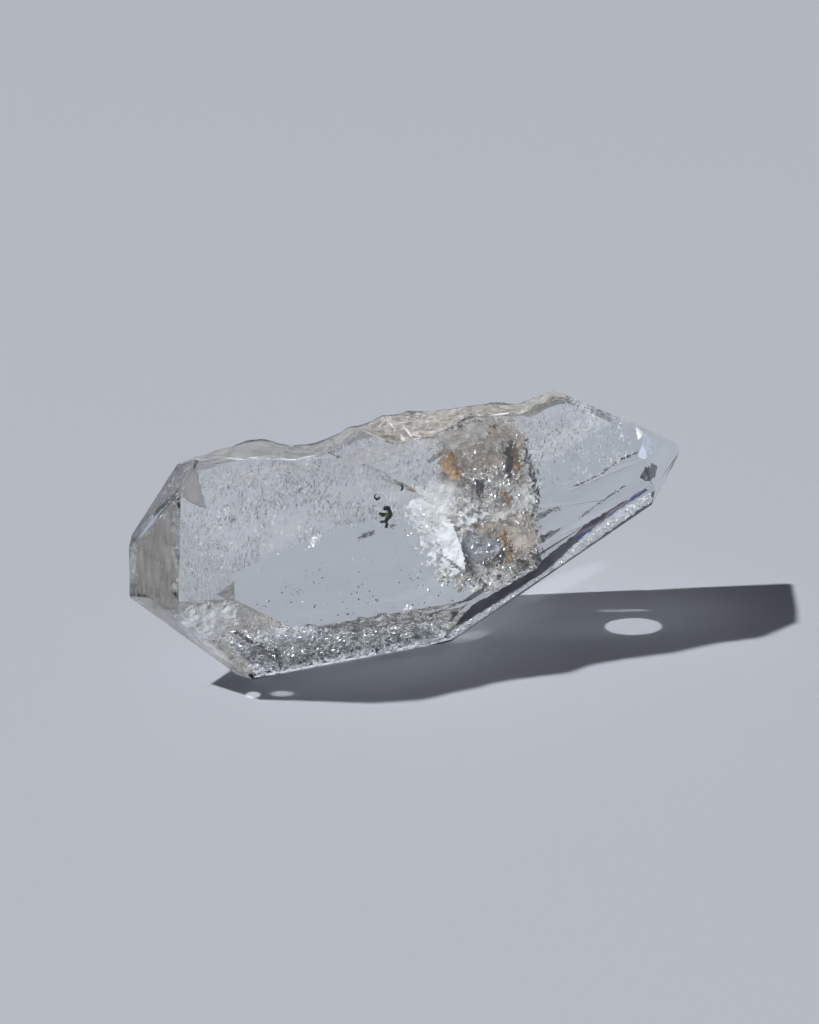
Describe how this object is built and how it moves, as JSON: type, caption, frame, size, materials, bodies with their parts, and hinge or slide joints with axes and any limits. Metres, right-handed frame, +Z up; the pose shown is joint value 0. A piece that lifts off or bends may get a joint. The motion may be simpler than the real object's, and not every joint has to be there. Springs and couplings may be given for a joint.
{
  "type": "rainbow quartz crystal",
  "caption": "Clear tabular quartz crystal with pointed ends, a rough ridge along its top, inner veils and a rainbow edge, standing on a narrow flat.",
  "frame": {"origin": "middle of the bounding box's underside, on the plane of the flat that the crystal stands on", "axes": "+X along the long axis towards the small right-hand tip, +Y from the broad front face to the back face, +Z up"},
  "size_m": [0.066, 0.0112, 0.0288],
  "materials": {
    "clear_quartz": "clear, polished natural faces with a rough top"
  },
  "bodies": {
    "root": {"quartz_crystal": "clear_quartz"}
  },
  "joints": []
}
